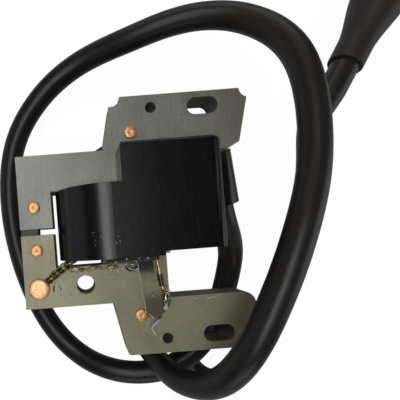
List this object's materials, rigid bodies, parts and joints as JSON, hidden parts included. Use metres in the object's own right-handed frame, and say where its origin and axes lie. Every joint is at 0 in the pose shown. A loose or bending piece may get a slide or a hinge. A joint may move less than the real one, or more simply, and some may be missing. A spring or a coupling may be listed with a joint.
{
  "type": "ignition coil",
  "caption": "Flywheel ignition coil of a small engine: a laminated armature with a black moulded coil, a ground rivet, a terminal strap and a high-tension lead with a plug boot.",
  "frame": {"origin": "midway between the two pilot holes, on the rear face of the lamination stacks", "axes": "+Z out of the stacks' front face, +X away from the flywheel along the mounting slots, +Y from the lower leg to the upper leg"},
  "size_m": [0.1484, 0.1531, 0.0591],
  "materials": {
    "lamination_steel": "zinc-grey sheet steel with thin yellowish varnish",
    "copper": "bare copper, peened",
    "case_plastic": "satin black moulding",
    "potting": "dark cast resin",
    "bobbin_plastic": "natural nylon",
    "enamelled_wire": "enamelled copper wire",
    "paper": "varnished insulating paper",
    "lead_rubber": "smooth black rubber",
    "boot_rubber": "matt black rubber",
    "strap_steel": "tinned sheet steel",
    "fibre": "dark vulcanised fibre",
    "solder": "bright solder",
    "spring_steel": "plated spring wire",
    "terminal_brass": "stamped brass",
    "sleeve": "dark varnished sleeving"
  },
  "bodies": {
    "root": {"upper_laminations": "lamination_steel", "lower_laminations": "lamination_steel", "upper_stack_rivets": "copper", "lower_stack_rivets": "copper", "ground_rivet": "copper", "gap_spacer": "fibre", "coil_case": "case_plastic", "potting": "potting", "primary_bobbin": "bobbin_plastic", "primary_winding": "enamelled_wire", "primary_insulation": "paper", "secondary_former": "bobbin_plastic", "secondary_winding": "enamelled_wire", "secondary_wrap": "paper", "hv_contact": "terminal_brass", "secondary_tail": "enamelled_wire", "lead_conductor": "enamelled_wire", "lead_jacket": "lead_rubber", "ground_wires": "enamelled_wire", "terminal_insulator": "fibre", "terminal_strap": "strap_steel", "primary_wire": "enamelled_wire", "wire_sleeve": "sleeve", "solder_joint": "solder"},
    "terminal": {"plug_terminal": "terminal_brass", "terminal_spring": "spring_steel"},
    "boot": {"plug_boot": "boot_rubber"}
  },
  "joints": [
    {"name": "terminal_turn", "type": "hinge", "parent": "root", "child": "terminal", "pos_m": [0.07358, 0.06331, 0.008], "axis": [0.5262, 0.8504, 0], "continuous": true},
    {"name": "boot_slide", "type": "slide", "parent": "terminal", "child": "boot", "axis": [-0.5262, -0.8504, 0], "range_m": [0, 0.008]}
  ]
}
